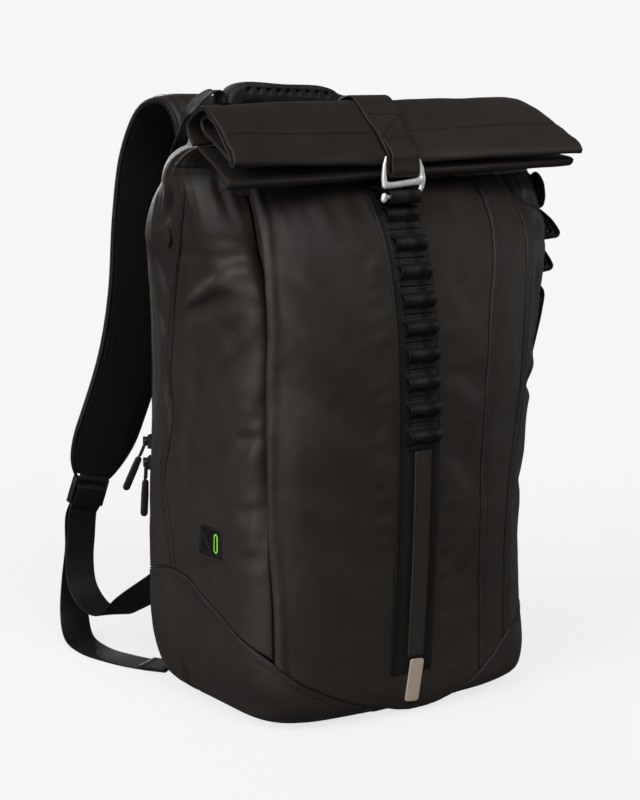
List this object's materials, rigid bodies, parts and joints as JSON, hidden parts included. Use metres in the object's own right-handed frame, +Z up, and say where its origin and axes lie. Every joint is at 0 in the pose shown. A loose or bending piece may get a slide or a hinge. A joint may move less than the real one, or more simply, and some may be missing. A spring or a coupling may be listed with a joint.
{
  "type": "roll-top backpack",
  "caption": "Roll-top backpack with a hooked closure strap, a front ladder of webbing loops, a perforated grip handle and padded shoulder straps.",
  "frame": {"origin": "centre of the flat bottom of the bag, where it stands", "axes": "+Z up to the rolled closure, -Y out of the front with the loop ladder, +Y out of the back panel, +X to the right seen from the front"},
  "size_m": [0.385, 0.4009, 0.5391],
  "materials": {
    "cloth": "coated satin cloth",
    "webbing": "ribbed webbing",
    "patch": "stitched patch",
    "trim": "woven strip",
    "plate": "matt plate",
    "steel": "polished cast metal",
    "rubber": "matt",
    "plastic": "moulded",
    "zip": "coil zip",
    "puller": "moulded puller"
  },
  "bodies": {
    "bag": {"front_panel": "cloth", "front_strip_right": "cloth", "side_panel_right": "cloth", "side_panel_left": "cloth", "rear_gusset_right": "cloth", "rear_gusset_left": "cloth", "back_panel": "cloth", "base_panel": "cloth", "roll": "cloth", "roll_under_fold": "cloth", "collar": "cloth", "closure_strap": "cloth", "shoulder_pad_left": "cloth", "shoulder_pad_right": "cloth", "ladder_base": "webbing", "ladder_loop_1": "webbing", "ladder_loop_2": "webbing", "ladder_loop_3": "webbing", "ladder_loop_4": "webbing", "ladder_loop_5": "webbing", "ladder_loop_6": "webbing", "ladder_loop_7": "webbing", "ladder_loop_8": "webbing", "ladder_loop_9": "webbing", "hook_loop": "webbing", "grip_tab_left": "webbing", "grip_tab_right": "webbing", "lower_webbing_left": "webbing", "strap_tail_left": "webbing", "lower_webbing_right": "webbing", "strap_tail_right": "webbing", "side_arch": "webbing", "side_leaf_1": "webbing", "side_leaf_2": "webbing", "side_lash": "webbing", "side_patch": "patch", "trim_strip": "trim", "label_plate": "plate", "hook": "steel", "grip": "rubber", "ladder_lock_left": "plastic", "ladder_lock_right": "plastic", "zip": "zip", "zip_slider_1": "steel", "zip_slider_2": "steel"},
    "puller_1": {"puller_link_1": "steel", "puller_tab_1": "puller"},
    "puller_2": {"puller_link_2": "steel", "puller_tab_2": "puller"}
  },
  "joints": [
    {"name": "puller_1_swing", "type": "hinge", "parent": "bag", "child": "puller_1", "pos_m": [-0.13919, 0.10096, 0.22203], "axis": [0.7249, 0.6888, 0], "range_deg": [-6, 140]},
    {"name": "puller_2_swing", "type": "hinge", "parent": "bag", "child": "puller_2", "pos_m": [-0.13926, 0.10118, 0.20302], "axis": [0.7241, 0.6897, 0], "range_deg": [-2, 12]}
  ]
}
